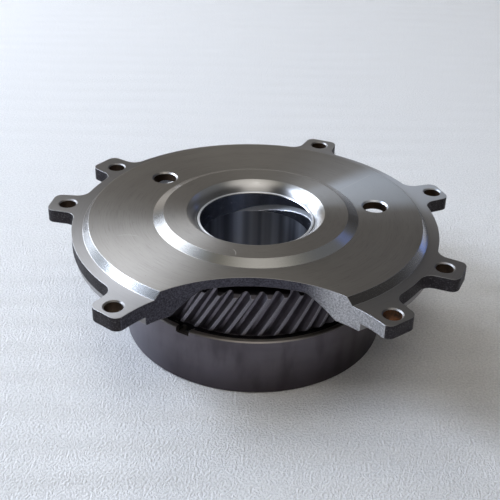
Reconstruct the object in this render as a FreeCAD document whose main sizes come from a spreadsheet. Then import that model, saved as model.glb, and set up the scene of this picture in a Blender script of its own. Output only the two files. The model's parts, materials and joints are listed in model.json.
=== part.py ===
import FreeCAD, Part
import Sketcher
import math
import os

from FreeCAD import Vector

# Output gear of a front-drive gearbox, carried in its bolt-on support cover.
# The axis of the gear is Z. Z = 0 is the plane in which the ears seat on the gearbox case,
# the raised hub points up and the drum stands on its lower rim.

DRIVING_SIZES = {
    # bushes and snout, from the bore outwards
    "bush_bore_radius": 30.5,
    "bush_wall": 1.5,
    "bush_length": 12.2,
    "bush_entry": 0.5,
    "oil_groove_lead": 42.0,
    "oil_groove_angle": 50.0,
    "oil_groove_width": 3.5,
    "oil_groove_depth": 0.6,
    "snout_bore_relief": 0.5,
    "snout_wall": 8.0,
    "snout_thread_relief": 1.0,
    "snout_seat_margin": 0.5,
    "snout_tail": 1.0,
    "snout_chamfer": 0.8,
    "keyway_width": 6.0,
    "keyway_depth": 2.5,
    # mouth of the bore and raised hub
    "mouth_flare": 5.3,
    "mouth_depth": 5.1,
    "mouth_arc_radius": 11.0,
    "hub_top_width": 12.6,
    "hub_bevel_run": 5.8,
    "hub_bevel_rise": 2.5,
    # two access holes through the plate
    "access_hole_diameter": 13.2,
    "access_hole_offset": 11.6,
    "access_hole_chamfer": 0.9,
    # taper roller bearings, both of one size
    "bearing_width": 20.0,
    "cone_wall": 3.42,
    "roller_diameter": 7.96,
    "roller_end_margin": 3.0,
    "roller_tilt": 12.0,
    "roller_count": 26.0,
    "roller_clearance": 0.08,
    "roller_end_clearance": 0.12,
    "cup_wall": 3.62,
    "cup_setback": 4.0,
    "large_rib_rise": 0.6,
    "small_rib_drop": 4.0,
    "bearing_chamfer": 0.8,
    "cage_end_margin": 1.4,
    "cage_wall": 1.0,
    "cage_offset": 1.0,
    "cage_clearance": 0.3,
    "cone_spacer_width": 3.0,
    "cone_spacer_wall": 4.0,
    # lock washer and lock nut
    "thread_clearance": 0.05,
    "lock_washer_thickness": 1.5,
    "lock_nut_wall": 8.0,
    "lock_nut_height": 8.0,
    "lock_nut_slot_width": 8.0,
    "lock_nut_chamfer": 0.8,
    "lock_tab_side_gap": 1.0,
    "lock_tab_gap": 0.75,
    "lock_tab_reach": 5.0,
    # helical gear
    "tooth_count": 51.0,
    "helix_angle": 29.4,
    "pressure_angle": 20.0,
    "addendum_in_modules": 0.98,
    "dedendum_in_modules": 1.245,
    "backlash": 0.12,
    "tooth_toe": 0.7,
    "tooth_end_chamfer": 1.1,
    "gear_wall": 10.8,
    "gear_top_gap": 4.2,
    "face_width": 24.5,
    "gear_neck_drop": 1.5,
    "gear_hub_wall": 4.0,
    "gear_hub_foot": 2.0,
    "cup_shoulder_height": 4.0,
    "gear_tail": 1.0,
    "gear_bore_chamfer": 0.8,
    # splined flange that carries the drum
    "flange_drop": 3.5,
    "spline_length": 8.0,
    "spline_count": 66.0,
    "spline_clearance": 0.15,
    "snap_ring_thickness": 1.8,
    "snap_ring_depth": 2.0,
    # drum
    "drum_height": 32.4,
    "drum_wall": 3.2,
    "drum_rim_clearance": 1.4,
    "drum_rim_step": 1.2,
    "drum_rim_lap": 0.4,
    "drum_edge": 0.6,
    "drum_tooth_height": 4.0,
    "drum_tooth_land": 1.6,
    "notch_angle": -119.6,
    "notch_width": 7.8,
    "notch_depth": 2.8,
    # underside of the cover: boss, dished web and pilot ring
    "boss_wall": 6.0,
    "boss_slope": 3.0,
    "boss_height": 6.2,
    "web_thickness": 5.2,
    "dish_margin": 7.7,
    "dish_slope_run": 12.5,
    "pilot_wall": 13.0,
    "pilot_step": 1.0,
    "pilot_depth": 4.7,
    "pilot_chamfer": 0.6,
    # flange and ears of the cover
    "flange_thickness": 7.5,
    "flange_ledge": 6.0,
    "outer_bevel_run": 3.2,
    "outer_bevel_rise": 3.9,
    "ear_length": 16.5,
    "ear_end_width": 18.4,
    "ear_root_width": 21.6,
    "ear_corner_radius": 4.5,
    "ear_root_fillet": 7.0,
    "ear_hole_diameter": 9.2,
    "ear_hole_chamfer": 0.7,
    # bite that lets the mating gear in, and the ears beside it
    "bite_overlap": 1.3,
    "bite_radius": 74.8,
    "front_ear_offset": 5.87,
}

# Each ear: its angle round the axis, and the metal between its hole and its end.
EARS = {
    "left": (172.7, 5.1),
    "right": (-24.35, 5.2),
    "back_right": (21.1, 1.6),
    "back": (68.7, 3.2),
    "back_left": (144.2, 7.1),
}

# The two front ears: on which side of the bite each stands, and the metal as above.
FRONT_EARS = {"front_left": (-1.0, 2.8), "front_right": (1.0, 2.8)}

ACCESS_HOLE_ANGLES = {"left": 142.4, "right": 11.0}


# A size knows its value and the sheet expression that gives it
class Size:
    def __init__(self, value, text):
        self.value = value
        self.text = text

    def join(self, sign, left, right, value):
        return Size(value, "(" + left.text + " " + sign + " " + right.text + ")")

    def __add__(self, other):
        other = as_size(other)
        return self.join("+", self, other, self.value + other.value)

    def __radd__(self, other):
        return as_size(other) + self

    def __sub__(self, other):
        other = as_size(other)
        return self.join("-", self, other, self.value - other.value)

    def __rsub__(self, other):
        return as_size(other) - self

    def __mul__(self, other):
        other = as_size(other)
        return self.join("*", self, other, self.value * other.value)

    def __rmul__(self, other):
        return as_size(other) * self

    def __truediv__(self, other):
        other = as_size(other)
        return self.join("/", self, other, self.value / other.value)

    def __rtruediv__(self, other):
        return as_size(other) / self

    def __neg__(self):
        return as_size(0.0) - self


def as_size(number):
    if isinstance(number, Size):
        return number
    return Size(float(number), "(" + repr(float(number)) + ")")


def tangent(angle):
    return Size(math.tan(math.radians(angle.value)), "tan(" + angle.text + ")")


def cosine(angle):
    return Size(math.cos(math.radians(angle.value)), "cos(" + angle.text + ")")


def sine(angle):
    return Size(math.sin(math.radians(angle.value)), "sin(" + angle.text + ")")


def angle_of_tangent(ratio):
    return Size(math.degrees(math.atan(ratio.value)), "(atan(" + ratio.text + ") / 1 deg)")


def angle_of_cosine(ratio):
    return Size(math.degrees(math.acos(ratio.value)), "(acos(" + ratio.text + ") / 1 deg)")


def square_root(number):
    return Size(math.sqrt(number.value), "sqrt(" + number.text + ")")


def smaller(left, right):
    return Size(min(left.value, right.value), "min(" + left.text + "; " + right.text + ")")


DEGREES_PER_RADIAN = Size(180.0 / math.pi, "(180 / pi)")

doc = FreeCAD.newDocument("output_gear")
sheet = doc.addObject("Spreadsheet::Sheet", "Sizes")


def write_sizes():
    rows = dict(DRIVING_SIZES)
    for name, (angle, metal) in EARS.items():
        rows["ear_angle_" + name] = angle
        rows["ear_metal_" + name] = metal
    for name, (side, metal) in FRONT_EARS.items():
        rows["ear_metal_" + name] = metal
    for name, angle in ACCESS_HOLE_ANGLES.items():
        rows["access_hole_angle_" + name] = angle
    for row, (alias, number) in enumerate(rows.items(), start=1):
        sheet.set("A" + str(row), alias.replace("_", " "))
        sheet.set("B" + str(row), str(number))
        sheet.setAlias("B" + str(row), alias)
    doc.recompute()


def size(alias):
    return Size(float(getattr(sheet, alias)), "Sizes." + alias)


write_sizes()

worked = doc.addObject("App::VarSet", "Worked")


def kept(name, value):
    """Keep a worked-out size in the document, so that the sketches point to it by name."""
    worked.addProperty("App::PropertyFloat", name, "Sizes")
    worked.setExpression(name, value.text)
    return Size(value.value, "Worked." + name)


# Bodies and sketches

def new_body(name):
    body = doc.addObject("PartDesign::Body", name)
    body.Label = name
    return body


def origin_feature(body, role):
    for feature in body.Origin.OriginFeatures:
        if feature.Role == role:
            return feature
    raise ValueError(role)


def sketch_on(body, role, name, turn=None, lift=None):
    sketch = body.newObject("Sketcher::SketchObject", name)
    sketch.AttachmentSupport = [(origin_feature(body, role), "")]
    sketch.MapMode = "FlatFace"
    if turn is not None:
        sketch.setExpression("AttachmentOffset.Rotation.Angle", turn.text)
    if lift is not None:
        sketch.setExpression("AttachmentOffset.Base.z", lift.text)
    return sketch


def bind(sketch, constraint, value):
    index = sketch.addConstraint(constraint)
    sketch.setExpression("Constraints[" + str(index) + "]", value.text)


def arc_between(start, end, radius, side):
    """The shorter arc of a radius between two points, drawn anticlockwise, and whether that runs start to end."""
    chord = end - start
    across = Vector(-chord.y, chord.x, 0).normalize()
    centre = (start + end) * 0.5 + across * side * math.sqrt(radius**2 - (chord.Length / 2) ** 2)
    first = math.atan2(start.y - centre.y, start.x - centre.x)
    last = math.atan2(end.y - centre.y, end.x - centre.x)
    forward = (last - first) % (2 * math.pi) < math.pi
    if not forward:
        first, last = last, first
    return Part.ArcOfCircle(Part.Circle(centre, Vector(0, 0, 1), radius), first, last), forward


def closed_outline(sketch, corners, arcs=None):
    """Join the corners with lines, or with an arc where arcs gives (radius, side) for the corner it leaves."""
    arcs = arcs or {}
    corners = [(as_size(x), as_size(y)) for x, y in corners]
    places = [Vector(x.value, y.value, 0) for x, y in corners]
    ends = []
    for index, start in enumerate(places):
        end = places[(index + 1) % len(places)]
        forward = True
        edge = Part.LineSegment(start, end)
        if index in arcs:
            radius, side = arcs[index]
            edge, forward = arc_between(start, end, radius.value, side)
        sketch.addGeometry(edge, False)
        ends.append((1, 2) if forward else (2, 1))
    for index in range(len(places)):
        after = (index + 1) % len(places)
        joint = Sketcher.Constraint("Coincident", index, ends[index][1], after, ends[after][0])
        sketch.addConstraint(joint)
    for index, (x, y) in enumerate(corners):
        point = ends[index][0]
        bind(sketch, Sketcher.Constraint("DistanceX", -1, 1, index, point, x.value), x)
        bind(sketch, Sketcher.Constraint("DistanceY", -1, 1, index, point, y.value), y)
    for index, (radius, side) in arcs.items():
        bind(sketch, Sketcher.Constraint("Radius", index, radius.value), radius)
    doc.recompute()


def circle_in(sketch, x, y, radius):
    x, y = as_size(x), as_size(y)
    sketch.addGeometry(Part.Circle(Vector(x.value, y.value, 0), Vector(0, 0, 1), radius.value), False)
    bind(sketch, Sketcher.Constraint("DistanceX", -1, 1, 0, 3, x.value), x)
    bind(sketch, Sketcher.Constraint("DistanceY", -1, 1, 0, 3, y.value), y)
    bind(sketch, Sketcher.Constraint("Radius", 0, radius.value), radius)
    doc.recompute()


def turned(body, name, profile, arcs=None, sweep=None):
    """Revolve a closed (radius, height) profile about Z."""
    sketch = sketch_on(body, "XZ_Plane", name + "_profile")
    closed_outline(sketch, profile, arcs)
    revolution = body.newObject("PartDesign::Revolution", name)
    revolution.Profile = sketch
    revolution.ReferenceAxis = (sketch, ["V_Axis"])
    revolution.Angle = 360.0
    if sweep is not None:
        revolution.setExpression("Angle", sweep.text)
    doc.recompute()
    return revolution


def pad(body, name, sketch, length):
    feature = body.newObject("PartDesign::Pad", name)
    feature.Profile = sketch
    feature.setExpression("Length", length.text)
    doc.recompute()
    return feature


def pocket_down(body, name, sketch, depth=None):
    """Cut from the sketch towards -Z, through everything if no depth is given."""
    before = body.Shape.Volume
    feature = body.newObject("PartDesign::Pocket", name)
    feature.Profile = sketch
    if depth is None:
        feature.Type = "ThroughAll"
    else:
        feature.setExpression("Length", depth.text)
    doc.recompute()
    if not body.Shape.Volume < before - 0.1:
        raise RuntimeError(name + " cuts nothing")
    return feature


def repeated(body, name, feature, count):
    before = body.Shape.Volume
    pattern = body.newObject("PartDesign::PolarPattern", name)
    pattern.Originals = [feature]
    pattern.Axis = (origin_feature(body, "Z_Axis"), [""])
    pattern.Angle = 360.0
    pattern.setExpression("Occurrences", count.text)
    body.Tip = pattern
    doc.recompute()
    if not body.Shape.Volume < before - 0.1:
        raise RuntimeError(name + " repeats nothing")
    return pattern


def edge_names(shape, wanted):
    return ["Edge" + str(i + 1) for i, edge in enumerate(shape.Edges) if wanted(edge)]


def rounded(body, name, feature, names, radius):
    fillet = body.newObject("PartDesign::Fillet", name)
    fillet.Base = (feature, names)
    fillet.setExpression("Radius", radius.text)
    doc.recompute()
    return fillet


def chamfered(body, name, feature, names, width):
    chamfer = body.newObject("PartDesign::Chamfer", name)
    chamfer.Base = (feature, names)
    chamfer.setExpression("Size", width.text)
    doc.recompute()
    return chamfer


def is_upright(edge):
    low, high = edge.Vertexes[0].Point, edge.Vertexes[-1].Point
    return low.sub(Vector(high.x, high.y, low.z)).Length < 1e-6 and abs(high.z - low.z) > 1e-3


# Radii shared by several pieces, each worked out from the piece inside it

bush_seat_radius = kept("bush_seat_radius", size("bush_bore_radius") + size("bush_wall"))
snout_radius = kept("snout_radius", bush_seat_radius + size("snout_wall"))
thread_radius = kept("thread_radius", snout_radius - size("snout_thread_relief"))
lock_nut_radius = kept("lock_nut_radius", thread_radius + size("lock_nut_wall"))
mouth_radius = kept("mouth_radius", bush_seat_radius + size("bush_entry") + size("mouth_flare"))
hub_top_radius = kept("hub_top_radius", mouth_radius + size("hub_top_width"))
hub_foot_radius = kept("hub_foot_radius", hub_top_radius + size("hub_bevel_run"))

roller_mean_radius = kept("roller_mean_radius", size("roller_diameter") / 2)
roller_pitch_radius = kept("roller_pitch_radius", snout_radius + size("cone_wall") + roller_mean_radius)
roller_reach = kept("roller_reach", roller_pitch_radius / sine(size("roller_tilt")))
roller_flare = kept("roller_flare", angle_of_tangent(roller_mean_radius / roller_reach))
cup_race_angle = kept("cup_race_angle", size("roller_tilt") + roller_flare)
cone_race_angle = kept("cone_race_angle", size("roller_tilt") - roller_flare)
cup_seat_radius = kept("cup_seat_radius", roller_pitch_radius + roller_mean_radius + size("cup_wall"))

pitch_radius = kept("pitch_radius", cup_seat_radius + size("gear_wall"))
normal_module = kept("normal_module", pitch_radius * 2 * cosine(size("helix_angle")) / size("tooth_count"))
tip_radius = kept("tip_radius", pitch_radius + normal_module * size("addendum_in_modules"))
root_radius = kept("root_radius", pitch_radius - normal_module * size("dedendum_in_modules"))

drum_rim_radius = kept("drum_rim_radius", tip_radius + size("drum_rim_clearance"))
drum_radius = kept("drum_radius", drum_rim_radius + size("drum_wall"))
drum_root_radius = kept("drum_root_radius", drum_rim_radius - size("drum_rim_step"))
drum_tip_radius = kept("drum_tip_radius", drum_root_radius - size("drum_tooth_height"))

dish_radius = kept("dish_radius", pitch_radius + size("dish_margin"))
pilot_inner_radius = kept("pilot_inner_radius", dish_radius + size("dish_slope_run"))
pilot_radius = kept("pilot_radius", pilot_inner_radius + size("pilot_wall"))
flange_radius = kept("flange_radius", pilot_radius + size("pilot_step"))
bevel_foot_radius = kept("bevel_foot_radius", flange_radius - size("flange_ledge"))
ear_reach = kept("ear_reach", flange_radius + size("ear_length"))

bite_distance = kept("bite_distance", pitch_radius - size("bite_overlap") + size("bite_radius"))
bite_squares = flange_radius * flange_radius + bite_distance * bite_distance
bite_cosine = (bite_squares - size("bite_radius") * size("bite_radius")) / (flange_radius * bite_distance * 2)
bite_half_angle = kept("bite_half_angle", angle_of_cosine(bite_cosine))


# Heights shared by several pieces, downwards from the plate

plate_top = kept("plate_top", size("flange_thickness") + size("outer_bevel_rise"))
hub_top = kept("hub_top", plate_top + size("hub_bevel_rise"))
bush_top = kept("bush_top", hub_top - size("mouth_depth"))
web_ceiling = kept("web_ceiling", plate_top - size("web_thickness"))
gear_top = kept("gear_top", web_ceiling - size("gear_top_gap"))
gear_face_low = kept("gear_face_low", gear_top - size("face_width"))
flange_high = kept("flange_high", gear_face_low - size("flange_drop"))
flange_low = kept("flange_low", flange_high - size("spline_length"))
drum_top = kept("drum_top", gear_face_low + size("drum_rim_lap"))
drum_low = kept("drum_low", drum_top - size("drum_height"))
upper_bearing_face = kept("upper_bearing_face", web_ceiling - size("boss_height"))
upper_spacer_face = kept("upper_spacer_face", upper_bearing_face - size("bearing_width"))
lower_spacer_face = kept("lower_spacer_face", upper_spacer_face - size("cone_spacer_width"))
lower_bearing_face = kept("lower_bearing_face", lower_spacer_face - size("bearing_width"))
washer_low = kept("washer_low", lower_bearing_face - size("lock_washer_thickness"))
nut_low = kept("nut_low", washer_low - size("lock_nut_height"))
snout_end = kept("snout_end", nut_low - size("snout_tail"))
doc.recompute()


# Support cover: one casting, turned on both sides, with the snout below

def ear_outline(sketch):
    root = flange_radius - size("ear_root_fillet")
    root_half = size("ear_root_width") / 2
    end_half = size("ear_end_width") / 2
    ends = [(ear_reach, -end_half), (ear_reach, end_half)]
    closed_outline(sketch, [(root, -root_half)] + ends + [(root, root_half)])


def ear_places():
    """Each ear's name, its angle, and the distance of its hole from the axis."""
    angles = {name: size("ear_angle_" + name) for name in EARS}
    for name in FRONT_EARS:
        side = FRONT_EARS[name][0]
        angles[name] = (bite_half_angle + size("front_ear_offset")) * side - 90.0
    hole_edge = ear_reach - size("ear_hole_diameter") / 2
    return [(name, angle, hole_edge - size("ear_metal_" + name)) for name, angle in angles.items()]


def add_ears(body):
    for name, angle, hole_distance in ear_places():
        sketch = sketch_on(body, "XY_Plane", "ear_outline_" + name, turn=angle)
        ear_outline(sketch)
        last = pad(body, "ear_" + name, sketch, size("flange_thickness"))
    reach = math.hypot(ear_reach.value, size("ear_end_width").value / 2)

    def at_radius(edge, radius):
        point = edge.Vertexes[0].Point
        return is_upright(edge) and abs(math.hypot(point.x, point.y) - radius) < 1e-3

    corners = edge_names(last.Shape, lambda edge: at_radius(edge, reach))
    last = rounded(body, "ear_corners", last, corners, size("ear_corner_radius"))
    roots = edge_names(last.Shape, lambda edge: at_radius(edge, flange_radius.value))
    return rounded(body, "ear_roots", last, roots, size("ear_root_fillet"))


def drill(body, name, angle, distance, diameter):
    sketch = sketch_on(body, "XY_Plane", name + "_circle", turn=angle, lift=hub_top)
    circle_in(sketch, distance, 0.0, diameter / 2)
    return pocket_down(body, name, sketch)


def rims_of(shape, height, diameter):
    def wanted(edge):
        round_edge = isinstance(edge.Curve, Part.Circle) and abs(edge.Curve.Radius - diameter / 2) < 1e-3
        return round_edge and abs(edge.BoundBox.Center.z - height) < 1e-3 and edge.BoundBox.ZLength < 1e-3

    return edge_names(shape, wanted)


def make_support_cover():
    body = new_body("support_cover")
    pilot_low = -size("pilot_depth")
    edge = size("pilot_chamfer")
    boss = snout_radius + size("boss_wall")
    seat_low = lower_bearing_face + size("snout_seat_margin")
    relieved = size("bush_bore_radius") + size("snout_bore_relief")
    profile = [
        (bush_seat_radius, snout_end),
        (bush_seat_radius, snout_end + size("bush_length")),
        (relieved, snout_end + size("bush_length")),
        (relieved, bush_top - size("bush_length")),
        (bush_seat_radius, bush_top - size("bush_length")),
        (bush_seat_radius, bush_top - size("bush_entry") * 2),
        (bush_seat_radius + size("bush_entry"), bush_top),
        (mouth_radius, hub_top),
        (hub_top_radius, hub_top),
        (hub_foot_radius, plate_top),
        (bevel_foot_radius - size("outer_bevel_run"), plate_top),
        (bevel_foot_radius, size("flange_thickness")),
        (flange_radius, size("flange_thickness")),
        (flange_radius, 0.0),
        (pilot_radius, 0.0),
        (pilot_radius, pilot_low + edge),
        (pilot_radius - edge, pilot_low),
        (pilot_inner_radius, pilot_low),
        (dish_radius, web_ceiling),
        (boss + size("boss_slope"), web_ceiling),
        (boss, web_ceiling - size("boss_slope")),
        (boss, upper_bearing_face),
        (snout_radius, upper_bearing_face),
        (snout_radius, seat_low),
        (thread_radius, seat_low),
        (thread_radius, snout_end + size("snout_chamfer")),
        (thread_radius - size("snout_chamfer"), snout_end),
    ]
    mouth = 6
    turned(body, "cover_turning", profile, {mouth: (size("mouth_arc_radius"), -1)})
    add_ears(body)

    bite = sketch_on(body, "XY_Plane", "bite_circle", lift=hub_top)
    circle_in(bite, 0.0, -bite_distance, size("bite_radius"))
    pocket_down(body, "bite", bite)

    ear_diameter = size("ear_hole_diameter")
    for name, angle, hole_distance in ear_places():
        last = drill(body, "ear_hole_" + name, angle, hole_distance, ear_diameter)
    access_diameter = size("access_hole_diameter")
    access_distance = hub_foot_radius + size("access_hole_offset")
    for name in ACCESS_HOLE_ANGLES:
        angle = size("access_hole_angle_" + name)
        last = drill(body, "access_hole_" + name, angle, access_distance, access_diameter)

    rims = rims_of(last.Shape, size("flange_thickness").value, ear_diameter.value)
    last = chamfered(body, "ear_hole_chamfers", last, rims, size("ear_hole_chamfer"))
    rims = rims_of(last.Shape, plate_top.value, access_diameter.value)
    chamfered(body, "access_hole_chamfers", last, rims, size("access_hole_chamfer"))

    keyway = sketch_on(body, "XY_Plane", "keyway_outline", lift=seat_low)
    low = thread_radius - size("keyway_depth")
    high = snout_radius + 1.0
    half = size("keyway_width") / 2
    closed_outline(keyway, [(-half, low), (half, low), (half, high), (-half, high)])
    pocket_down(body, "keyway", keyway)
    return body


# Bushes pressed into the two ends of the snout's bore

def bush_profile(top):
    inner = size("bush_bore_radius")
    outer = bush_seat_radius
    low = top - size("bush_length")
    break_edge = size("bush_wall") / 5
    return [
        (inner, low + break_edge),
        (inner + break_edge, low),
        (outer, low),
        (outer, top),
        (inner + break_edge, top),
        (inner, top - break_edge),
    ]


def make_upper_bush():
    """The helical oil groove falls to the left as it comes round the far wall of the bore."""
    blank = new_body("upper_bush_blank")
    turned(blank, "upper_bush_turning", bush_profile(bush_top))

    middle = bush_top - size("bush_length") / 2
    run = size("bush_length") * 2
    spine = doc.addObject("Part::Helix", "oil_groove_path")
    spine.LocalCoord = "Left-handed"
    spine.setExpression("Pitch", size("oil_groove_lead").text)
    spine.setExpression("Height", run.text)
    spine.setExpression("Radius", size("bush_bore_radius").text)
    start = size("oil_groove_angle") + 180.0 * run / size("oil_groove_lead")
    spine.setExpression("Placement.Rotation.Angle", start.text)
    spine.setExpression("Placement.Base.z", (middle - run / 2).text)
    doc.recompute()

    inner = size("bush_bore_radius").value
    half = size("oil_groove_width").value / 2
    depth = size("oil_groove_depth").value
    low = (middle - run / 2).value
    corners = [(inner - depth, -half), (inner + depth, -half), (inner + depth, half), (inner - depth, half)]
    section = doc.addObject("Part::Feature", "oil_groove_section")
    section.Shape = Part.makePolygon([Vector(x, 0, z) for x, z in corners + corners[:1]])
    section.Placement = FreeCAD.Placement(Vector(0, 0, low), FreeCAD.Rotation(Vector(0, 0, 1), start.value))
    groove = doc.addObject("Part::Sweep", "oil_groove")
    groove.Sections = [section]
    groove.Spine = (spine, ["Edge1"])
    groove.Solid = True
    groove.Frenet = True
    cut = doc.addObject("Part::Cut", "upper_bush")
    cut.Base = blank
    cut.Tool = groove
    doc.recompute()
    return cut


def make_lower_bush():
    body = new_body("lower_bush")
    turned(body, "lower_bush_turning", bush_profile(snout_end + size("bush_length")))
    return body


# Taper roller bearings, back to back: "along" runs from the large ends of the rollers inwards

class Bearing:
    """One bearing whose large roller ends lie at height face; down is -1 if it goes down from there."""

    def __init__(self, prefix, face, down):
        self.prefix = prefix
        self.face = face
        self.down = down
        self.tilt = size("roller_tilt")
        self.middle = size("bearing_width") / 2
        self.half_length = self.middle - size("roller_end_margin")
        self.apex = self.middle + roller_pitch_radius / tangent(self.tilt)

    def point(self, radius, along):
        return (radius, self.face + along * self.down)

    def points(self, pairs):
        listed = [self.point(radius, along) for radius, along in pairs]
        return listed if self.down > 0 else listed[::-1]

    def roller_end(self, radius, side, gap):
        """Distance along, at a radius, of the plane gap beyond the rollers' large (-1) or small (+1) end."""
        half = self.half_length + gap
        centre_radius = roller_pitch_radius - side * half * sine(self.tilt)
        centre_along = self.middle + side * half * cosine(self.tilt)
        return centre_along + (radius - centre_radius) * tangent(self.tilt)

    def make_cone(self):
        width = size("bearing_width")
        gap = size("roller_end_clearance")
        clear = size("roller_clearance") / cosine(cone_race_angle)

        def race(along):
            return (self.apex - along) * tangent(cone_race_angle) - clear

        large = roller_pitch_radius + size("large_rib_rise")
        small = roller_pitch_radius - size("small_rib_drop")
        large_foot = self.roller_end(race(self.middle / 4), -1, gap)
        small_foot = self.roller_end(race(width - self.middle / 4), 1, gap)
        chamfer = size("bearing_chamfer")
        profile = self.points(
            [
                (snout_radius + chamfer, 0.0),
                (large - chamfer, 0.0),
                (large, chamfer),
                (large, self.roller_end(large, -1, gap)),
                (race(large_foot), large_foot),
                (race(small_foot), small_foot),
                (small, self.roller_end(small, 1, gap)),
                (small, width),
                (snout_radius, width),
                (snout_radius, chamfer),
            ]
        )
        body = new_body(self.prefix + "_bearing_cone")
        turned(body, self.prefix + "_cone_turning", profile)
        return body

    def make_cup(self):
        start = size("cup_setback")
        width = size("bearing_width")
        clear = size("roller_clearance") / cosine(cup_race_angle)
        chamfer = size("bearing_chamfer")

        def race(along):
            return (self.apex - along) * tangent(cup_race_angle) + clear

        profile = self.points(
            [
                (race(start), start),
                (cup_seat_radius - chamfer, start),
                (cup_seat_radius, start + chamfer),
                (cup_seat_radius, width - chamfer),
                (cup_seat_radius - chamfer, width),
                (race(width), width),
            ]
        )
        body = new_body(self.prefix + "_bearing_cup")
        turned(body, self.prefix + "_cup_turning", profile)
        return body

    def make_cage(self):
        margin = size("cage_end_margin")
        far = size("bearing_width") - margin
        half_wall = size("cage_wall") / 2
        clear = size("cage_clearance")

        def line(along):
            return roller_pitch_radius + size("cage_offset") - (along - self.middle) * tangent(self.tilt)

        body = new_body(self.prefix + "_bearing_cage")
        profile = self.points(
            [
                (line(margin) - half_wall, margin),
                (line(margin) + half_wall, margin),
                (line(far) + half_wall, far),
                (line(far) - half_wall, far),
            ]
        )
        turned(body, self.prefix + "_cage_cone", profile)
        window_start = self.roller_end(line(margin) - half_wall * 2, -1, clear / 2)
        window_end = self.roller_end(line(far) + half_wall * 2, 1, clear / 2)
        half_width = self.roller_radius(as_size(0.0)) + clear
        low, high = sorted(
            [self.point(0, window_start)[1], self.point(0, window_end)[1]], key=lambda height: height.value
        )
        sketch = sketch_on(body, "YZ_Plane", self.prefix + "_window_outline")
        closed_outline(sketch, [(-half_width, low), (half_width, low), (half_width, high), (-half_width, high)])
        before = body.Shape.Volume
        window = body.newObject("PartDesign::Pocket", self.prefix + "_window")
        window.Profile = sketch
        window.Reversed = True
        window.Type = "ThroughAll"
        doc.recompute()
        if not body.Shape.Volume < before - 0.1:
            raise RuntimeError(self.prefix + " cage window cuts nothing")
        repeated(body, self.prefix + "_windows", window, size("roller_count"))
        return body

    def roller_radius(self, out):
        """Radius of a roller at a distance out from its middle towards the large end."""
        return (roller_reach + out) * tangent(roller_flare)

    def make_rollers(self):
        """A ring of loose rollers, each a cone whose apex is the bearing's own."""
        half = self.half_length
        slope = math.radians(self.tilt.value)
        outward = Vector(math.sin(slope), 0, -self.down * math.cos(slope))
        centre = Vector(roller_pitch_radius.value, 0, (self.face + self.middle * self.down).value)
        small_end = centre - outward * half.value
        small = self.roller_radius(-half).value
        large = self.roller_radius(half).value
        roller = Part.makeCone(small, large, 2 * half.value, small_end, outward)
        count = round(size("roller_count").value)
        ring = []
        for index in range(count):
            copy = roller.copy()
            copy.rotate(Vector(0, 0, 0), Vector(0, 0, 1), 360.0 * index / count)
            ring.append(copy)
        node = doc.addObject("Part::Feature", self.prefix + "_bearing_rollers")
        node.Shape = Part.makeCompound(ring)
        return node

    def make_all(self):
        return [self.make_cone(), self.make_rollers(), self.make_cage(), self.make_cup()]


def make_cone_spacer():
    body = new_body("cone_spacer")
    inner = snout_radius
    outer = inner + size("cone_spacer_wall")
    corners = [(inner, lower_spacer_face), (outer, lower_spacer_face), (outer, upper_spacer_face)]
    turned(body, "cone_spacer_turning", corners + [(inner, upper_spacer_face)])
    return body


# Lock washer and lock nut on the thread of the snout

def make_lock_washer():
    body = new_body("lock_washer")
    inner = thread_radius + size("thread_clearance")
    outer = lock_nut_radius
    corners = [(inner, washer_low), (outer, washer_low), (outer, lower_bearing_face)]
    turned(body, "lock_washer_ring", corners + [(inner, lower_bearing_face)])

    clear = size("thread_clearance")
    low = thread_radius - size("keyway_depth") + clear
    half = size("keyway_width") / 2 - clear
    tongue = sketch_on(body, "XY_Plane", "tongue_outline", lift=washer_low)
    closed_outline(tongue, [(-half, low), (half, low), (half, inner + 1.0), (-half, inner + 1.0)])
    pad(body, "tongue", tongue, size("lock_washer_thickness"))

    thickness = size("lock_washer_thickness")
    tab_half = size("lock_nut_slot_width") / 2 - size("lock_tab_side_gap")
    tab_outer = outer - size("lock_tab_gap")
    tab = sketch_on(body, "XY_Plane", "tab_outline", lift=washer_low - size("lock_tab_reach"))
    corners = [(tab_outer - thickness, -tab_half), (tab_outer, -tab_half), (tab_outer, tab_half)]
    closed_outline(tab, corners + [(tab_outer - thickness, tab_half)])
    pad(body, "bent_tab", tab, size("lock_tab_reach") + thickness / 2)
    return body


def make_lock_nut():
    body = new_body("lock_nut")
    inner = thread_radius + size("thread_clearance")
    outer = lock_nut_radius
    chamfer = size("lock_nut_chamfer")
    profile = [
        (inner + chamfer, nut_low),
        (outer - chamfer, nut_low),
        (outer, nut_low + chamfer),
        (outer, washer_low),
        (inner, washer_low),
        (inner, nut_low + chamfer),
    ]
    turned(body, "lock_nut_turning", profile)
    floor = outer - size("lock_washer_thickness") - size("lock_tab_gap") * 2
    half = size("lock_nut_slot_width") / 2
    slot = sketch_on(body, "XY_Plane", "nut_slot_outline", lift=washer_low)
    closed_outline(slot, [(floor, -half), (outer + 1.0, -half), (outer + 1.0, half), (floor, half)])
    cut = pocket_down(body, "nut_slot", slot)
    repeated(body, "nut_slots", cut, as_size(4.0))
    return body


# Output gear: involute teeth on a helix, hub for the bearing cups, splined flange for the drum

def involute_turn(base, radius):
    """Degrees that an involute of a base circle has turned through by the time it reaches a radius."""
    roll = square_root(radius / base * (radius / base) - 1.0)
    return roll * DEGREES_PER_RADIAN - angle_of_tangent(roll)


def polar(radius, angle):
    return (radius * cosine(angle), radius * sine(angle))


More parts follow.
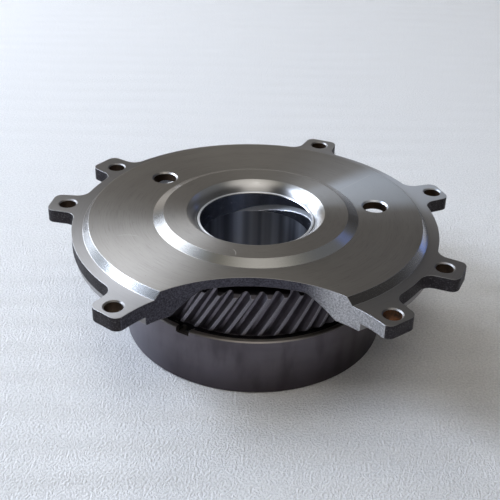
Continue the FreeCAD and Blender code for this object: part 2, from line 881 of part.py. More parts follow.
def tooth_space_corners():
    """Transverse outline of one tooth space on +X: floor, toes, and two points up each involute flank."""
    count = size("tooth_count")
    outside = tip_radius + normal_module / 2
    heel = root_radius + size("tooth_toe")
    half_pitch = 180.0 / count
    transverse = angle_of_tangent(tangent(size("pressure_angle")) / cosine(size("helix_angle")))
    base = kept("base_radius", pitch_radius * cosine(transverse))
    half_tooth = half_pitch / 2 - size("backlash") / 2 / pitch_radius * DEGREES_PER_RADIAN
    at_pitch = kept("turn_at_pitch", half_pitch - half_tooth - involute_turn(base, pitch_radius))

    def half_space(radius):
        return at_pitch + involute_turn(base, radius)

    floor = half_space(heel) * 0.6
    right = [polar(radius, -half_space(radius)) for radius in (heel, pitch_radius, outside)]
    left = [polar(radius, half_space(radius)) for radius in (outside, pitch_radius, heel)]
    return [polar(root_radius, -floor)] + right + left + [polar(root_radius, floor)]


def cut_teeth(body):
    """Each tooth space is a loft through three outlines, turned along the right-hand helix as they rise."""
    turn_per_height = tangent(size("helix_angle")) / pitch_radius * DEGREES_PER_RADIAN
    over = size("tooth_end_chamfer")
    reach = size("face_width") + over * 2
    corners = tooth_space_corners()
    sketches = []
    for index, name in enumerate(("low", "middle", "high")):
        rise = reach * (index / 2)
        turn = rise * turn_per_height
        sketch = sketch_on(body, "XY_Plane", name + "_tooth_space", turn=turn, lift=gear_face_low - over + rise)
        closed_outline(sketch, corners)
        sketches.append(sketch)
    before = body.Shape.Volume
    space = body.newObject("PartDesign::SubtractiveLoft", "tooth_space")
    space.Profile = sketches[0]
    space.Sections = sketches[1:]
    space.Ruled = False
    doc.recompute()
    if not body.Shape.Volume < before - 0.1:
        raise RuntimeError("the tooth space cuts nothing")
    repeated(body, "tooth_spaces", space, size("tooth_count"))


def cut_flange_splines(body):
    """The gaps take the drum's teeth, which are as wide at their root as the drum's own gaps leave them."""
    clear = size("spline_clearance")
    root = drum_root_radius
    inner = drum_tip_radius - clear
    inner_half = size("drum_tooth_land") / 2 + clear
    outer_half = math.pi * root / size("spline_count") - drum_gap_half(root) + clear
    half_pitch = 180.0 / size("spline_count")
    gap = sketch_on(body, "XY_Plane", "spline_gap_outline", turn=half_pitch, lift=flange_high)
    closed_outline(gap, [(inner, -inner_half), (root, -outer_half), (root, outer_half), (inner, inner_half)])
    cut = pocket_down(body, "spline_gap", gap, size("spline_length"))
    repeated(body, "spline_gaps", cut, size("spline_count"))


def make_output_gear():
    body = new_body("output_gear")
    bevel = size("tooth_end_chamfer")
    neck = root_radius - size("gear_neck_drop")
    seat = cup_seat_radius
    rib = seat - size("cup_shoulder_height")
    edge = size("gear_bore_chamfer")
    hub_outer = seat + size("gear_hub_wall")
    cup_low = lower_bearing_face + size("cup_setback")
    hub_low = smaller(cup_low - size("gear_tail"), flange_low - size("gear_hub_foot"))
    spline_tip = drum_root_radius - size("spline_clearance")
    profile = [
        (seat + edge, hub_low),
        (hub_outer, hub_low),
        (hub_outer, flange_low),
        (spline_tip, flange_low),
        (spline_tip, flange_high),
        (neck, flange_high),
        (neck, gear_face_low),
        (tip_radius - bevel * 2, gear_face_low),
        (tip_radius, gear_face_low + bevel),
        (tip_radius, gear_top - bevel),
        (tip_radius - bevel * 2, gear_top),
        (seat + edge, gear_top),
        (seat, gear_top - edge),
        (seat, upper_spacer_face),
        (rib, upper_spacer_face),
        (rib, lower_spacer_face),
        (seat, lower_spacer_face),
        (seat, hub_low + edge),
    ]
    turned(body, "gear_turning", profile)
    cut_teeth(body)
    cut_flange_splines(body)
    return body


# Drum: plain outside, internal teeth that the flange and the planet pinions run in

def drum_gap_half(radius):
    """Half width, at a radius, of the gap between two of the drum's straight-sided teeth."""
    at_tip = math.pi * drum_tip_radius / size("spline_count") - size("drum_tooth_land") / 2
    return at_tip - (radius - drum_tip_radius) * tangent(size("pressure_angle"))


def make_ring_gear_drum():
    body = new_body("ring_gear_drum")
    outer = drum_radius
    edge = size("drum_edge")
    rim = drum_rim_radius
    tip = drum_tip_radius
    ring = size("snap_ring_thickness")
    groove = rim + size("snap_ring_depth") / 2
    low_groove = drum_root_radius + size("snap_ring_depth")
    profile = [
        (tip + edge * 2, drum_low),
        (outer - edge, drum_low),
        (outer, drum_low + edge),
        (outer, drum_top - edge),
        (outer - edge, drum_top),
        (rim + edge / 2, drum_top),
        (rim, drum_top - edge / 2),
        (rim, flange_high + ring),
        (groove, flange_high + ring),
        (groove, flange_high),
        (tip, flange_high),
        (tip, flange_low),
        (low_groove, flange_low),
        (low_groove, flange_low - ring),
        (tip, flange_low - ring),
        (tip, drum_low + edge * 2),
    ]
    turned(body, "drum_turning", profile)

    gap = sketch_on(body, "XY_Plane", "drum_tooth_gap_outline", lift=drum_top)
    root = drum_root_radius
    inside = tip - 1.0
    inner_half = drum_gap_half(inside)
    outer_half = drum_gap_half(root)
    closed_outline(gap, [(inside, -inner_half), (root, -outer_half), (root, outer_half), (inside, inner_half)])
    cut = pocket_down(body, "drum_tooth_gap", gap)
    repeated(body, "drum_tooth_gaps", cut, size("spline_count"))

    notch = sketch_on(body, "XY_Plane", "notch_outline", turn=size("notch_angle"), lift=drum_top)
    half = size("notch_width") / 2
    closed_outline(notch, [(rim - 2.0, -half), (outer + 2.0, -half), (outer + 2.0, half), (rim - 2.0, half)])
    pocket_down(body, "notch", notch, size("notch_depth"))
    return body


def make_snap_ring(name, low, outer, width):
    """A split ring whose gap faces the notch in the drum's rim."""
    body = new_body(name)
    ring = size("snap_ring_thickness")
    inner = outer - width
    gap = size("notch_width") / outer * DEGREES_PER_RADIAN
    corners = [(inner, low), (outer, low), (outer, low + ring), (inner, low + ring)]
    turned(body, name + "_turning", corners, sweep=360.0 - gap)
    body.setExpression("Placement.Rotation.Angle", (size("notch_angle") + gap / 2).text)
    doc.recompute()
    return body


def make_snap_rings():
    clear = size("spline_clearance")
    upper_outer = drum_rim_radius + size("snap_ring_depth") / 2 - clear
    lower_outer = drum_root_radius + size("snap_ring_depth") - clear
    upper = make_snap_ring("upper_snap_ring", flange_high, upper_outer, size("snap_ring_depth") * 2)
    lower_low = flange_low - size("snap_ring_thickness")
    lower = make_snap_ring("lower_snap_ring", lower_low, lower_outer, size("snap_ring_depth") * 2)
    return [upper, lower]


def make_all():
    pieces = [make_support_cover(), make_upper_bush(), make_lower_bush()]
    pieces += Bearing("upper", upper_bearing_face, -1.0).make_all()
    pieces += Bearing("lower", lower_bearing_face, 1.0).make_all()
    pieces += [make_cone_spacer(), make_lock_washer(), make_lock_nut()]
    pieces += [make_output_gear(), make_ring_gear_drum()]
    pieces += make_snap_rings()
    return pieces


def check_and_write(pieces):
    for item in doc.Objects:
        if "Invalid" in item.State or "Error" in item.State:
            raise RuntimeError(item.Label + " failed: " + str(item.State))
    os.makedirs("parts", exist_ok=True)
    for piece in pieces:
        shape = piece.Shape
        if shape.isNull() or not shape.isValid() or shape.Volume <= 0:
            raise RuntimeError(piece.Label + " is not a valid solid")
        shape.exportStep("parts/" + piece.Label + ".step")
        print(piece.Label, "solids", len(shape.Solids), "faces", len(shape.Faces), "volume", round(shape.Volume))


check_and_write(make_all())
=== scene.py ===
# %% [markdown]
# # An output gear in its support cover
#
# The object is a helical gear that turns inside a round bolt-on cover, with a drum below it. All its
# pieces are metal, and each one got its look from the last tool that touched it: turning leaves fine
# rings, casting leaves a sandy skin, grinding leaves almost a mirror. This lesson loads the finished
# shapes and then gives each piece the surface that its tool would leave.

# %% Load the shapes
import json
import math

import bpy
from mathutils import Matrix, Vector


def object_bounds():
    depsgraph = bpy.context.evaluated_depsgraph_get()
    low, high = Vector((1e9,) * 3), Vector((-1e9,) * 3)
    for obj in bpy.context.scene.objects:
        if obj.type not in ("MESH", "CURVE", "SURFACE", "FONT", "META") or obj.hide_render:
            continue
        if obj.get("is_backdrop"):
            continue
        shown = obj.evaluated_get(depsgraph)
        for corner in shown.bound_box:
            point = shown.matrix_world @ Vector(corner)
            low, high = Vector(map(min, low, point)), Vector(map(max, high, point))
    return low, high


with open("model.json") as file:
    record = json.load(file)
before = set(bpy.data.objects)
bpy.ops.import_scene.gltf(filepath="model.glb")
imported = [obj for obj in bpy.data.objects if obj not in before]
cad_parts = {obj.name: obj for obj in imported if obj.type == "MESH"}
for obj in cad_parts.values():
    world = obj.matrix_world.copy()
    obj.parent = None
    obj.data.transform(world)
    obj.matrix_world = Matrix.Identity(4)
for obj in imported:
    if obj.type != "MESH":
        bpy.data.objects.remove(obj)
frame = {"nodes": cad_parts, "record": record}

nodes = frame["nodes"]
cad_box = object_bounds()
print(len(nodes), "pieces loaded, box", [round(v, 4) for corner in cad_box for v in corner])

# %% [markdown]
# ## The camera
#
# The view looks down at about thirty degrees on the bite in the cover's rim. A long lens keeps the far
# ears nearly as large as the near ones. The camera could be aimed with a constraint, but three plain
# angles are easier to read and stay put when the view is changed.

# %% Set the camera
camera_data = bpy.data.cameras.new("camera")
camera_data.lens = 67.56
camera_data.sensor_width = 36.0
camera_data.clip_start = 0.01
camera = bpy.data.objects.new("camera", camera_data)
camera.location = (0.0, -0.4512, 0.2595)
tilt, lean, pan = 58.983, -1.213, 1.067
camera.rotation_euler = [math.radians(angle) for angle in (tilt, lean, pan)]
bpy.context.scene.collection.objects.link(camera)
bpy.context.scene.camera = camera
print("camera", round(camera.location.length, 3), "m from the gear's axis")

# %% [markdown]
# ## Writing shader maths as sums
#
# A shader is a chain of small boxes, and a long chain is hard to read. A wire is one output of such a
# box. When two wires are added or multiplied here, the Math node is made behind the scenes, so a mask
# such as "1 - edge" is written just as it is said. Every other kind of box comes from one method.

# %% Make the wire class
class Wire:
    """One output of a shader node, which can be used in sums like a number."""

    def __init__(self, tree, socket=None):
        self.tree = tree
        self.socket = socket

    def node(self, kind, settings=None, inputs=None, output=0):
        """Add a node: its settings first, then the values or wires of its inputs."""
        made = self.tree.nodes.new(kind)
        for name, value in (settings or {}).items():
            setattr(made, name, value)
        for name, value in (inputs or {}).items():
            if isinstance(value, Wire):
                self.tree.links.new(value.socket, made.inputs[name])
            else:
                made.inputs[name].default_value = value
        return Wire(self.tree, made.outputs[output] if made.outputs else None)

    def math(self, operation, *values):
        return self.node("ShaderNodeMath", {"operation": operation}, dict(enumerate(values)))

    def part(self, axis):
        """One of the three numbers of a direction or a point."""
        return self.node("ShaderNodeSeparateXYZ", {}, {0: self}, axis)

    def root(self):
        return self.math("SQRT", self)

    def __add__(self, other):
        return self.math("ADD", self, other)

    def __radd__(self, other):
        return self.math("ADD", other, self)

    def __sub__(self, other):
        return self.math("SUBTRACT", self, other)

    def __rsub__(self, other):
        return self.math("SUBTRACT", other, self)

    def __mul__(self, other):
        return self.math("MULTIPLY", self, other)

    def __rmul__(self, other):
        return self.math("MULTIPLY", other, self)

    def __abs__(self):
        return self.math("ABSOLUTE", self)


# %% [markdown]
# ## Small words for masks
#
# Most masks here ask one question: how far is this point from the axis, or from a hole, or how high
# does it lie? A soft step answers it with a number from 0 to 1, and a band is two soft steps. Lengths
# are in millimetres inside the shaders, because workshop sizes are easier to picture that way.

# %% Make the mask helpers
def step(value, start, end):
    """0 below start, 1 above end, with a smooth rise between."""
    settings = {"interpolation_type": "SMOOTHSTEP"}
    return value.node("ShaderNodeMapRange", settings, {0: value, 1: start, 2: end, 3: 0.0, 4: 1.0})


def band(value, low, high, soft):
    """1 between low and high, fading over the soft width."""
    return step(value, low - soft, low + soft) * (1 - step(value, high - soft, high + soft))


def mix(mask, first, second):
    """The first colour where the mask is 0, the second where it is 1."""
    start = next(item for item in (mask, first, second) if isinstance(item, Wire))
    colours = {6: first, 7: second}
    for slot, colour in colours.items():
        if not isinstance(colour, Wire):
            colours[slot] = (*colour, 1.0)
    return start.node("ShaderNodeMix", {"data_type": "RGBA"}, {0: mask, **colours}, output=2)


def between(mask, first, second):
    """A plain number that goes from first to second with the mask."""
    return first + mask * (second - first)


def larger(first, second):
    return first.math("MAXIMUM", first, second)


def joined(first, second=0.0, third=0.0):
    """Three numbers as the coordinates of a pattern; the first is a wire."""
    return first.node("ShaderNodeCombineXYZ", {}, {0: first, 1: second, 2: third})


# %% [markdown]
# ## Where a point lies
#
# Almost every mark on a turned piece goes round its axis. Blender hands a shader the point in metres,
# and from that come the distance to the axis, the angle round it and how much the face looks up. An
# unwrapped mesh could carry marks as well, but it would need seams, and rings would break at them.

# %% Make the place class and the patterns
class Place:
    """Where a point of a piece lies, in millimetres, measured from the gear's axis."""

    def __init__(self, start):
        metres = start.node("ShaderNodeTexCoord", output="Object")
        self.point = start.node("ShaderNodeVectorMath", {"operation": "SCALE"}, {0: metres, "Scale": 1000.0})
        self.x, self.y, self.z = [self.point.part(axis) for axis in "XYZ"]
        self.radius = (self.x * self.x + self.y * self.y).root()
        self.turn = self.y.math("ARCTAN2", self.y, self.x)
        self.up = start.node("ShaderNodeTexCoord", output="Normal").part("Z")

    def distance(self, x, y):
        """Distance from an upright line through x and y."""
        across = self.x - x
        along = self.y - y
        return (across * across + along * along).root()

    def along_turning(self):
        """Coordinates that run out from the axis, round it and up it, for marks that follow the tool."""
        return joined(self.radius, self.turn * 12.0, self.z)


def cloud(vector, scale, detail=2.0, rough=0.5):
    """Soft random blotches, about one over the scale across."""
    inputs = {"Vector": vector, "Scale": scale, "Detail": detail, "Roughness": rough}
    return vector.node("ShaderNodeTexNoise", {}, inputs)


def rings(place, per_millimetre):
    """Random rings as a turning tool leaves them."""
    inputs = {"W": place.radius + place.z * 0.7, "Scale": per_millimetre, "Detail": 2.0}
    return place.radius.node("ShaderNodeTexNoise", {"noise_dimensions": "1D"}, inputs)


# %% [markdown]
# ## Edges
#
# No machined edge is perfectly sharp. It has been broken with a file or rubbed bright by handling, and
# the thin line of light there is what makes metal look solid. The edges could be bevelled in the mesh,
# but the shapes must stay as they are, so the Bevel node bends the shading instead. Where the bent
# direction differs from the flat one there is an edge, and that difference is also the mask where the
# finishes paint edges paler: partly wear, partly a painted highlight.

# %% Make the edge helper
def likeness(first, second):
    """1 for two equal directions, less the further they are apart."""
    return first.node("ShaderNodeVectorMath", {"operation": "DOT_PRODUCT"}, {0: first, 1: second}, "Value")


def soft_edges(start, width):
    """A rounded normal and a mask that is 1 on edges; width in millimetres."""
    rounded = start.node("ShaderNodeBevel", {"samples": 6}, {"Radius": width / 1000.0})
    flat = start.node("ShaderNodeNewGeometry", output="Normal")
    return rounded, step(1 - likeness(rounded, flat), 0.01, 0.16)


# %% [markdown]
# ## From numbers to metal
#
# Bare metal is one Principled shader: its colour is the colour of its mirror, and its roughness says how
# far the mirror is spoilt. The rings of turned metal spoil it more across them than along them, so a
# highlight is drawn out into a wedge that points at the axis. Thousands of modelled grooves would do the
# same, very slowly. The shader's own stretch of highlights costs nothing and only needs the axis.

# %% Make the metal helpers
def bumped(height, depth, normal):
    """Turn a height pattern into tilted normals; depth in millimetres."""
    inputs = {"Strength": 1.0, "Distance": depth / 1000.0, "Height": height, "Normal": normal}
    return height.node("ShaderNodeBump", {}, inputs)


def metal(start, colour, roughness, normal, grain=0.0):
    """Bare metal. Grain stretches its highlights outwards, across the rings that the tool left."""
    quarter_turn = 0.25
    inputs = {
        "Base Color": colour,
        "Metallic": 1.0,
        "Roughness": roughness,
        "Normal": normal,
        "Anisotropic": grain,
        "Anisotropic Rotation": quarter_turn,
    }
    return start.node("ShaderNodeBsdfPrincipled", {}, inputs, "BSDF")


def finish(name, recipe):
    """Make a material from a recipe, which gets a starting wire and gives back a shader."""
    made = bpy.data.materials.new(name)
    made.use_nodes = True
    made.node_tree.nodes.clear()
    start = Wire(made.node_tree)
    start.node("ShaderNodeOutputMaterial", {}, {"Surface": recipe(start)})
    print(name, "uses", len(made.node_tree.nodes), "nodes")
    return made


def dress(material, slot, *names):
    """Give pieces a material, and centre the space that stretches their highlights on the gear's axis."""
    reach = 0.12
    for name in names:
        mesh = nodes[name].data
        mesh.materials.clear()
        mesh.materials.append(material)
        mesh.use_auto_texspace = False
        mesh.texspace_location = (0.0, 0.0, 0.0)
        mesh.texspace_size = (reach, reach, reach)


# %% [markdown]
# ## The cover: turned, cast and milled
#
# One casting shows four skins. Its top was turned, so light gathers in wedges that point at the axis.
# The bevels and the mouth of the bore were polished almost to a mirror. The sides of the ears are still
# as cast. The bite was milled, which leaves a grainy cut. Four materials on chosen faces would give hard
# borders, so one material with masks is used, and the masks come from the sizes of the piece.

# %% Find the landmarks of the cover
plate_edge = 90.8
bevel_foot = 94.0
hub_bevel_foot = 56.2
hub_edge = 50.4
mouth_edge = 37.8
bore_edge = 31.6
cast_outside = 90.0
web_inside, web_outside = 46.5, 86.0
bite_centre = (0.0, -139.3)
bite_radius = 74.8
holes = {}
for mount in frame["record"]["mounts"]:
    if mount["name"].endswith("_hole"):
        x, y = [1000.0 * value for value in mount["pos_m"][:2]]
        holes[mount["name"]] = (x, y, mount["dims"]["r_mm"])
print(len(holes), "holes:", sorted(holes))

# %% [markdown]
# ## Marks of use on the plate
#
# The eye finds a few marks at once: a long pale line with a nick at its lower end, and two thin arcs
# where something slid over the plate. They could be painted on a picture and laid on top, but each is
# only a distance to a line or to a circle, and as a sum it stays sharp however near the camera comes.

# %% Draw the scratches
def scratch(place, first, last, width):
    """A straight mark between two points on top of the plate."""
    (x0, y0), (x1, y1) = first, last
    length = math.hypot(x1 - x0, y1 - y0)
    along_x, along_y = (x1 - x0) / length, (y1 - y0) / length
    across = abs((place.x - x0) * along_y - (place.y - y0) * along_x)
    along = (place.x - x0) * along_x + (place.y - y0) * along_y
    return (1 - step(across, 0.0, width)) * band(along, 0.0, length, 1.5)


def curved_scratch(place, centre, radius, low, high):
    """A thin arc round a centre, kept between two values of y."""
    return (1 - step(abs(place.distance(*centre) - radius), 0.0, 0.35)) * band(place.y, low, high, 0.8)


def plate_marks(place):
    """All marks of use together; the nick is the strongest, the second arc the faintest."""
    streak = scratch(place, (48.2, 31.4), (67.4, 52.0), 0.5)
    nick = 1 - step(place.distance(46.4, 30.1), 0.3, 1.2)
    near_arc = curved_scratch(place, (-16.0, -46.5), 6.5, -47.5, -42.5) * step(place.x, -13.5, -12.0)
    far_arc = curved_scratch(place, (-66.6, -40.0), 13.5, -27.5, -25.5)
    return larger(larger(streak * 0.35, larger(near_arc, far_arc * 0.25)), nick)


# %% [markdown]
# ## The turned top
#
# The turning tool left rings, and a wiping cloth left short dark strokes that follow them. The bevels
# and the mouth are brighter because they were polished. At the right rear a pale blue wedge is painted
# into the colour: it is a painted reflection of the low daylight. A bump alone would give rings only
# inside the highlights. Here they also move the colour and the gloss a little, so the plate doesn't look
# like plastic where it is in shade.

# %% Turn the top of the cover
worn_iron, clean_iron = (0.34, 0.32, 0.305), (0.43, 0.41, 0.39)
ring_shade = (0.31, 0.292, 0.275)
stroke_shade = (0.22, 0.21, 0.195)
# Painted reflection: the pale blue of the low daylight, mirrored in a wedge at the right rear.
painted_wedge_reflection = (0.68, 0.72, 0.78)
polished_iron = (0.58, 0.575, 0.575)
scratched_iron = (0.80, 0.80, 0.80)
speck_brown = (0.16, 0.14, 0.13)
rim_grey = (0.26, 0.25, 0.25)
bare_edge_and_highlight = (0.72, 0.71, 0.70)
# Painted reflections: the dark and light of the room, as upright stripes round the bore.
bore_reflection_dark, bore_reflection_light = (0.13, 0.135, 0.16), (0.48, 0.50, 0.56)
wedge_from, wedge_to = 0.17, 0.72  # angles round the axis, in radians from +X


def turned_skin(start, place, rounded, edge):
    """The machined faces of the cover."""
    turned_rings = rings(place, 1.1)
    broad_rings = rings(place, 0.16)
    fine_rings = rings(place, 5.0)
    strokes = cloud(joined(place.radius * 2.0, place.turn * 5.0), 1.0, 5.0, 0.6)
    blotches = cloud(place.point, 0.035, 3.0)
    specks = step(cloud(place.point, 1.1, 1.0), 0.74, 0.80)

    hub_bevel = band(place.radius, hub_edge, hub_bevel_foot, 0.3)
    outer_bevel = band(place.radius, plate_edge, bevel_foot, 0.3)
    mouth = 1 - step(place.radius, mouth_edge - 0.4, mouth_edge + 0.2)
    polished = larger(larger(hub_bevel, outer_bevel), mouth) * step(place.up, 0.05, 0.2)
    rim_top = step(place.radius, bevel_foot - 0.2, bevel_foot + 0.3)
    outside_hub = between(step(place.radius, 50.0, 57.0), 0.3, 0.75)
    # Painted reflection: the wedge of daylight at the right rear, fading in towards the hub.
    painted_wedge = band(place.turn, wedge_from, wedge_to, 0.10) * outside_hub

    steel = mix(blotches, worn_iron, clean_iron)
    steel = mix(broad_rings * 0.4, steel, ring_shade)
    steel = mix(step(strokes, 0.48, 0.75) * 0.55, steel, stroke_shade)
    steel = mix(painted_wedge, steel, painted_wedge_reflection)
    steel = mix(polished * 0.8, steel, polished_iron)
    steel = mix(plate_marks(place), steel, scratched_iron)
    steel = mix(specks * 0.5, steel, speck_brown)
    steel = mix(rim_top * 0.6, steel, rim_grey)
    # Edges painted paler: partly bare metal from wear, partly a painted highlight.
    steel = mix(edge * 0.5, steel, bare_edge_and_highlight)

    # Painted reflections: upright stripes of dark and light round the bore, standing for the room mirrored
    # in it.
    bore = 1 - step(place.radius, bore_edge, bore_edge + 0.6)
    reflection_stripes = cloud(joined(place.turn * 3.0), 1.0)
    steel = mix(bore, steel, mix(step(reflection_stripes, 0.35, 0.65), bore_reflection_dark, bore_reflection_light))

    gloss = between(polished, 0.28 + turned_rings * 0.06 + strokes * 0.09, 0.21 + mouth * 0.08)
    gloss = between(rim_top, gloss, 0.42 + blotches * 0.1)
    height = (turned_rings * 0.5 + fine_rings * 0.5 + strokes * 0.5) * (1 - polished * 0.7)
    return metal(start, steel, gloss, bumped(height, 0.012, rounded), 0.75)


# %% [markdown]
# ## The cast sides, the cut of the bite and the holes
#
# Molten iron took the grain of the sand, so the sides are rough and dark, with paler crumbs. The bite
# was cut later, which leaves a grainy cut. Its right part is painted much lighter: that is painted light,
# from the daylight at the left falling on that face. The walls of the holes are painted dark brown as
# the shade inside them, and one of them has begun to rust. Separate materials for all these would
# repeat the same sand four times, so one skin is recoloured by masks, and the pattern runs on from one
# to the next.

# %% Cast the sides and cut the bite
cast_dark, cast_light = (0.018, 0.016, 0.018), (0.075, 0.068, 0.072)
crumb_grey = (0.17, 0.16, 0.165)
cut_dark, cut_light = (0.035, 0.033, 0.042), (0.13, 0.125, 0.15)
# Painted light: the right part of the bite, lighter where the daylight from the left falls on it.
painted_lit_cut_dark, painted_lit_cut_light = (0.38, 0.38, 0.39), (0.88, 0.87, 0.88)
# Painted shade: the dark brown inside the holes.
painted_hole_shade_dark, painted_hole_shade_brown = (0.03, 0.022, 0.016), (0.12, 0.075, 0.045)
rust_red = (0.24, 0.105, 0.05)
rubbed_edge_and_highlight = (0.66, 0.65, 0.65)


def cast_skin(start, place, rounded, edge):
    """The rough faces of the cover, and the mask that says where they are."""
    sand = cloud(place.point, 1.2, 5.0, 0.65)
    patches = cloud(place.point, 0.16, 3.0)
    crumbs = step(sand, 0.52, 0.66)
    grain = step(sand, 0.30, 0.70)

    side = 1 - step(abs(place.up), 0.3, 0.5)
    cast_side = side * step(place.radius, cast_outside, cast_outside + 1.0) * step(place.z, -0.05, 0.05)
    web = (1 - step(place.up, -0.5, -0.3)) * band(place.radius, web_inside, web_outside, 0.5)
    bite = side * (1 - step(place.distance(*bite_centre), bite_radius + 0.15, bite_radius + 0.3))
    walls = {}
    hole_wall = 0.0
    for name, (x, y, hole_radius) in holes.items():
        walls[name] = side * (1 - step(place.distance(x, y), hole_radius + 0.3, hole_radius + 0.7))
        hole_wall = larger(walls[name], hole_wall)
    rust = walls["front_right_ear_hole"] * step(patches, 0.35, 0.6)
    # Painted light: a mask that grows towards the right of the bite.
    lit_right_of_bite = step(place.x, 22.0, 42.0)

    skin = mix(patches, cast_dark, cast_light)
    skin = mix(crumbs * 0.55, skin, crumb_grey)
    cut = mix(grain, cut_dark, cut_light)
    cut = mix(lit_right_of_bite * 0.8, cut, mix(grain, painted_lit_cut_dark, painted_lit_cut_light))
    skin = mix(bite, skin, cut)
    # Painted shade: the walls of the holes, a nearly black brown.
    skin = mix(hole_wall * 0.85, skin, mix(patches, painted_hole_shade_dark, painted_hole_shade_brown))
    skin = mix(rust, skin, rust_red)
    # Edges painted paler, more on the crumbs: partly wear, partly a painted highlight.
    skin = mix(edge * (0.45 + crumbs * 0.5), skin, rubbed_edge_and_highlight)
    gloss = between(edge, between(bite, 0.60, 0.50), 0.28)
    rough_faces = larger(larger(cast_side, web), larger(bite, hole_wall))
    return rough_faces, metal(start, skin, gloss, bumped(sand + patches * 0.6, 0.22, rounded))


# %% [markdown]
# ## Joining the two skins
#
# The cover leaves the machine with both skins side by side. A Mix Shader puts them on one piece, and
# its factor is the mask of the rough faces, so the border lies exactly on the edges of the real cuts.

# %% Dress the cover
def cover_recipe(start):
    place = Place(start)
    rounded, edge = soft_edges(start, 0.5)
    rough_faces, cast = cast_skin(start, place, rounded, edge)
    turned = turned_skin(start, place, rounded, edge)
    return start.node("ShaderNodeMixShader", {}, {0: rough_faces, 1: turned, 2: cast})


dress(finish("turned_iron", cover_recipe), "turned_iron", "support_cover")


# %% [markdown]
# ## The bushes and the bore
#
# A bush is a thin rolled ring with a soft grey lining. Its upper edge catches the light as a bright
# thread, which is a painted highlight: its flat ends and its edges are painted nearly white. A groove
# that carries oil winds down through it. The lining is darker than steel because it holds lead and oil.
# The groove could be a dark line in the finish, but it is real geometry, so the finish only has to make
# its floor a little paler, which the distance from the axis does.

# %% Mix the bush finish
lining_dark, lining_light = (0.22, 0.235, 0.285), (0.36, 0.38, 0.44)
groove_grey = (0.52, 0.53, 0.55)
painted_bright_thread = (0.85, 0.86, 0.88)
lining_radius = 30.5


def bush_recipe(start):
    place = Place(start)
    rounded, edge = soft_edges(start, 0.3)
    haze = cloud(place.along_turning(), 0.5, 3.0)
    groove = step(place.radius, lining_radius + 0.2, lining_radius + 0.4)
    rim = step(abs(place.up), 0.5, 0.8)
    lining = mix(haze, lining_dark, lining_light)
    lining = mix(groove, lining, groove_grey)
    # Painted highlight: the flat ends and the edges of the bush, nearly white.
    lining = mix(larger(rim, edge), lining, painted_bright_thread)
    gloss = between(groove, 0.22 + haze * 0.08, 0.5)
    return metal(start, lining, gloss, bumped(rings(place, 3.0), 0.006, rounded), 0.6)


dress(finish("bush_lining", bush_recipe), "bush_steel", "upper_bush", "lower_bush")


# %% [markdown]
# ## The gear
#
# Gear teeth are cut, hardened and ground. The flanks keep a film of oil and heat tint, the lands at the
# tips are smoother and darker, and every edge between them is painted paler, partly as wear and partly
# as a painted highlight. The upward end faces lie under the cover and are painted nearly black as shade.
# One mask on the distance from the axis tells land from flank. The bright edges could be modelled as
# bevels on 51 teeth, but the edge mask finds them all, and that is what lets the eye count the teeth in
# the shade of the bite.

# %% Mix the gear finish
tip_radius = 68.0
film_dark, film_light = (0.17, 0.155, 0.18), (0.29, 0.27, 0.30)
grinding_shade = (0.12, 0.11, 0.125)
painted_end_face_shade = (0.05, 0.045, 0.05)
land_grey = (0.17, 0.16, 0.175)
tooth_edge_and_highlight = (0.56, 0.54, 0.57)


def gear_recipe(start):
    place = Place(start)
    rounded, edge = soft_edges(start, 0.35)
    land = step(place.radius, tip_radius - 0.25, tip_radius - 0.05)
    film = cloud(place.point, 0.18, 4.0)
    grain = cloud(place.along_turning(), 1.6)
    # Painted shade: the upward end faces, under the cover.
    shaded_end_face = step(place.up, 0.7, 0.9)
    colour = mix(film, film_dark, film_light)
    colour = mix(grain * 0.3, colour, grinding_shade)
    colour = mix(shaded_end_face * 0.75, colour, painted_end_face_shade)
    colour = mix(land * 0.8, colour, land_grey)
    # Edges painted paler: partly wear, partly a painted highlight.
    colour = mix(edge * 0.75, colour, tooth_edge_and_highlight)
    gloss = between(land, 0.44 + film * 0.12, 0.36)
    return metal(start, colour, gloss, bumped(grain + film * 0.5, 0.02, rounded))


dress(finish("gear_steel", gear_recipe), "gear_steel", "output_gear")


# %% [markdown]
# ## The drum
#
# The drum is a plain turned ring that has been through a furnace, so it is brown-grey and satin. Its
# wide side is almost featureless: soft clouds of heat tint, faint streaks where oil ran down, and a
# paler top rim where the turning tool finished. Its foot is painted darker, as the shade near the
# floor, and its left part is painted paler and bluer, as the light from the window at the left. One
# even colour would be simpler, but such a side then looks like plastic. The clouds are large and weak,
# or it would look painted.

# %% Mix the drum finish
drum_foot, drum_middle = -54.0, -30.0
tint_dark, tint_light = (0.084, 0.073, 0.086), (0.19, 0.172, 0.195)
smear_grey = (0.24, 0.22, 0.22)
run_dark = (0.062, 0.052, 0.058)
painted_foot_shade = (0.038, 0.030, 0.036)
painted_left_light = (0.25, 0.24, 0.28)
top_rim = (0.52, 0.48, 0.43)
drum_edge_and_highlight = (0.50, 0.48, 0.47)


